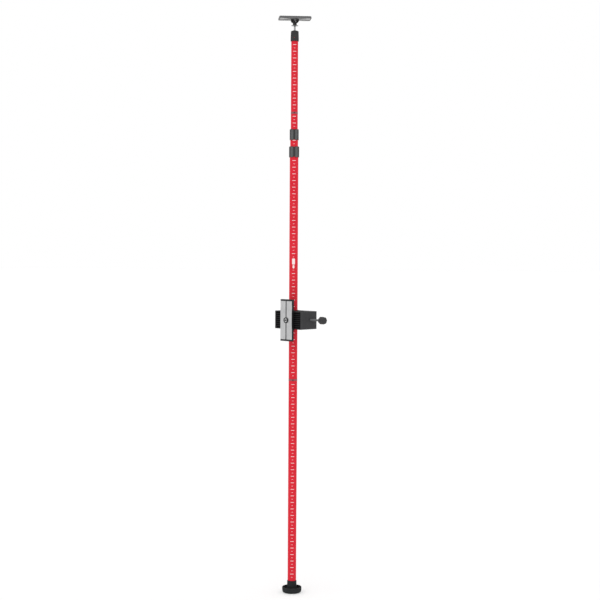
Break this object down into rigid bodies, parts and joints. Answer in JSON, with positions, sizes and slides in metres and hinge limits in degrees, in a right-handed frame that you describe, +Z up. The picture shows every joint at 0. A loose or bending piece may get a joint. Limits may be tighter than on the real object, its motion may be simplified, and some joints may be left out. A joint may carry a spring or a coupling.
{
  "type": "leveling rod",
  "caption": "Graduated telescoping pole wedged between floor and ceiling, with a foot, twist-lock collars, a sprung swivel plate and a clamp-on laser mount.",
  "frame": {"origin": "centre of the foot's flat underside, on the pole's axis", "axes": "+Z up along the pole towards the ceiling plate; -Y is the graduated front of the pole; the laser mount's face looks towards -X -Y"},
  "size_m": [0.1988, 0.1835, 2.216],
  "materials": {
    "tube_paint": "satin red paint with white scale marks",
    "foot_rubber": "matt rubber",
    "grip_soft": "matt soft-touch grip",
    "black_plastic": "fine moulded texture",
    "housing_plastic": "fine moulded texture",
    "nylon": "natural nylon",
    "steel": "brushed",
    "chrome": "polished",
    "brass": "machined",
    "anodised": "black anodised"
  },
  "bodies": {
    "pole": {"foot": "foot_rubber", "foot_plug": "nylon", "foot_pin": "steel", "lower_tube": "tube_paint", "lower_joint_collar": "black_plastic", "lower_spigot": "nylon", "lower_button_spring": "steel", "middle_tube": "tube_paint", "lower_collet": "black_plastic"},
    "lower_button": {"lower_snap_button": "black_plastic"},
    "lower_collar": {"lower_twist_grip": "grip_soft"},
    "second_section": {"second_tube": "tube_paint", "second_tube_bush": "nylon", "upper_collet": "black_plastic"},
    "upper_collar": {"upper_twist_grip": "grip_soft"},
    "third_section": {"third_tube": "tube_paint", "third_tube_bush": "nylon", "upper_joint_collar": "black_plastic", "upper_spigot": "nylon", "upper_button_spring": "steel", "top_tube": "tube_paint", "spring_seat": "nylon", "plunger_spring": "steel", "head_sleeve": "black_plastic"},
    "upper_button": {"upper_snap_button": "black_plastic"},
    "head_lock": {"head_grip": "grip_soft"},
    "plunger": {"plunger_rod": "chrome", "rod_disc": "chrome", "yoke": "black_plastic"},
    "gimbal": {"gimbal_cross": "housing_plastic", "plate_pin": "steel"},
    "ceiling_head": {"ceiling_plate": "housing_plastic", "ceiling_pad": "foot_rubber"},
    "liner": {"clamp_liner": "black_plastic"},
    "mount": {"clamp_housing": "housing_plastic", "screw_insert": "brass", "ribbed_rail": "anodised", "rail_cap_left": "housing_plastic", "rail_cap_right": "housing_plastic", "rail_screw_1": "steel", "rail_screw_2": "steel", "rail_screw_3": "steel", "rail_screw_4": "steel"},
    "jaw": {"clamp_jaw": "black_plastic", "thrust_foot": "steel"},
    "clamp_handle": {"clamp_screw": "steel", "clamp_knob": "black_plastic"},
    "laser_carriage": {"plate_frame": "anodised", "steel_strip_left": "steel", "steel_strip_right": "steel", "plate_cap_top": "black_plastic", "plate_cap_bottom": "black_plastic", "carriage_hook_top": "black_plastic", "carriage_hook_bottom": "black_plastic"},
    "stud": {"laser_stud": "steel"},
    "wheel": {"stud_wheel": "black_plastic"}
  },
  "joints": [
    {"name": "lower_twist", "type": "hinge", "parent": "pole", "child": "lower_collar", "pos_m": [0, 0, 1.703], "axis": [0, 0, 1], "range_deg": [0, 90]},
    {"name": "second_slide", "type": "slide", "parent": "pole", "child": "second_section", "axis": [0, 0, 1], "range_m": [-0.022, 0.725]},
    {"name": "upper_twist", "type": "hinge", "parent": "second_section", "child": "upper_collar", "pos_m": [0, 0, 1.769], "axis": [0, 0, 1], "range_deg": [0, 90]},
    {"name": "third_slide", "type": "slide", "parent": "second_section", "child": "third_section", "axis": [0, 0, 1], "range_m": [-0.055, 0.725]},
    {"name": "lower_button_press", "type": "slide", "parent": "pole", "child": "lower_button", "axis": [0, 1, 0], "range_m": [0, 0.0043], "stiffness_N_per_m": 500, "springref_m": -0.0004, "deforming": ["lower_button_spring"]},
    {"name": "upper_button_press", "type": "slide", "parent": "third_section", "child": "upper_button", "axis": [0, 1, 0], "range_m": [0, 0.0043], "stiffness_N_per_m": 500, "springref_m": -0.0004, "deforming": ["upper_button_spring"]},
    {"name": "head_twist", "type": "hinge", "parent": "third_section", "child": "head_lock", "pos_m": [0, 0, 2.144], "axis": [0, 0, 1], "range_deg": [0, 60]},
    {"name": "plunger_slide", "type": "slide", "parent": "third_section", "child": "plunger", "axis": [0, 0, 1], "range_m": [-0.015, 0], "stiffness_N_per_m": 900, "springref_m": 0.012, "deforming": ["plunger_spring"]},
    {"name": "yoke_tilt", "type": "hinge", "parent": "plunger", "child": "gimbal", "pos_m": [0, 0, 2.2035], "axis": [0.9966, 0.0819, 0], "range_deg": [-15, 15]},
    {"name": "plate_tilt", "type": "hinge", "parent": "gimbal", "child": "ceiling_head", "pos_m": [0, 0, 2.2035], "axis": [-0.0819, 0.9966, 0], "range_deg": [-15, 15]},
    {"name": "mount_slide", "type": "slide", "parent": "pole", "child": "liner", "axis": [0, 0, 1], "range_m": [-0.18, 0.57]},
    {"name": "mount_turn", "type": "hinge", "parent": "liner", "child": "mount", "pos_m": [0, 0, 1.061], "axis": [0, 0, 1], "continuous": true},
    {"name": "screw_spin", "type": "hinge", "parent": "jaw", "child": "clamp_handle", "pos_m": [0.07071, -0.07071, 1.063], "axis": [0.7071, -0.7071, 0], "range_deg": [-18, 3618]},
    {"name": "jaw_slide", "type": "slide", "parent": "mount", "child": "jaw", "axis": [0.7071, -0.7071, 0], "range_m": [0, 0.03]},
    {"name": "carriage_slide", "type": "slide", "parent": "mount", "child": "laser_carriage", "axis": [0.7071, -0.7071, 0], "range_m": [-0.035, 0.032]},
    {"name": "stud_slide", "type": "slide", "parent": "laser_carriage", "child": "stud", "axis": [0, 0, 1], "range_m": [-0.06, 0.06]},
    {"name": "wheel_spin", "type": "hinge", "parent": "stud", "child": "wheel", "pos_m": [-0.02899, -0.06576, 1.061], "axis": [-0.7071, -0.7071, 0], "continuous": true}
  ],
  "couplings": [
    {"joint": "screw_spin", "follows": "jaw_slide", "rad_per_m": 2094.4}
  ]
}
